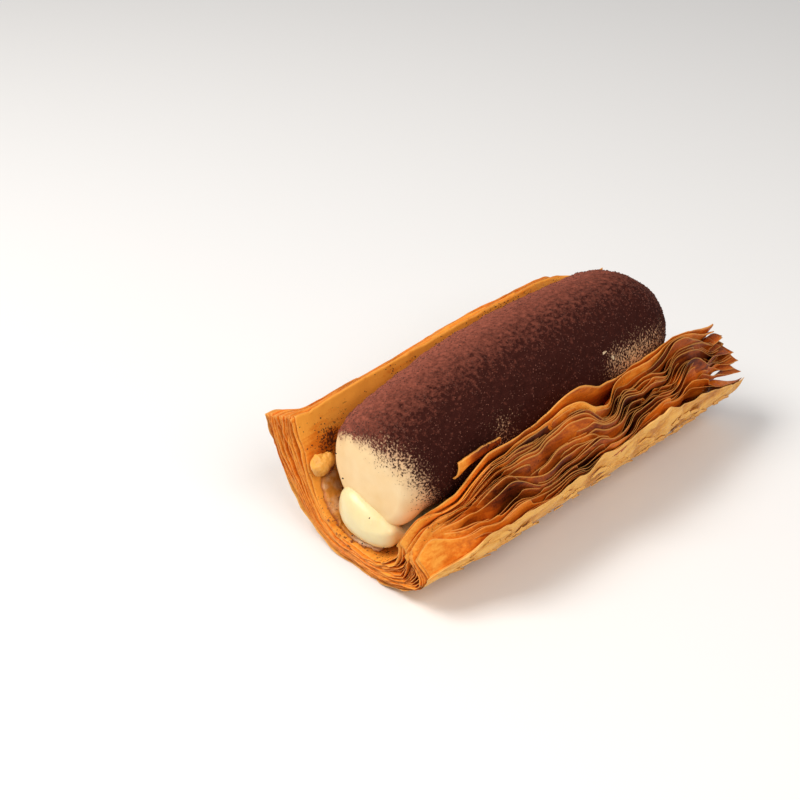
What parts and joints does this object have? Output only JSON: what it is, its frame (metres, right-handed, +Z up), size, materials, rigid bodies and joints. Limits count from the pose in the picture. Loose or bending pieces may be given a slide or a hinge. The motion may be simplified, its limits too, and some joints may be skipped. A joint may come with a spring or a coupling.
{
  "type": "napoleon pastry",
  "caption": "Trough of flaky puff pastry holding a cocoa-dusted cream roll on a bed of vanilla custard and coffee cream",
  "frame": {"origin": "middle of the bounding box, on the surface the pastry lies on", "axes": "+X along the pastry, away from the end that shows its cream; +Y towards the plain arm of the trough; +Z up"},
  "size_m": [0.1172, 0.0628, 0.0472],
  "materials": {
    "crust": "matte",
    "cocoa_cream": "matte",
    "custard": "gloss",
    "coffee_cream": "satin",
    "baked_custard": "satin",
    "flake": "matte"
  },
  "bodies": {
    "root": {"pastry_shell": "crust", "cream_roll": "cocoa_cream", "custard_strip": "custard", "cream_lining": "coffee_cream", "custard_dab": "baked_custard", "loose_flake": "flake"}
  },
  "joints": []
}
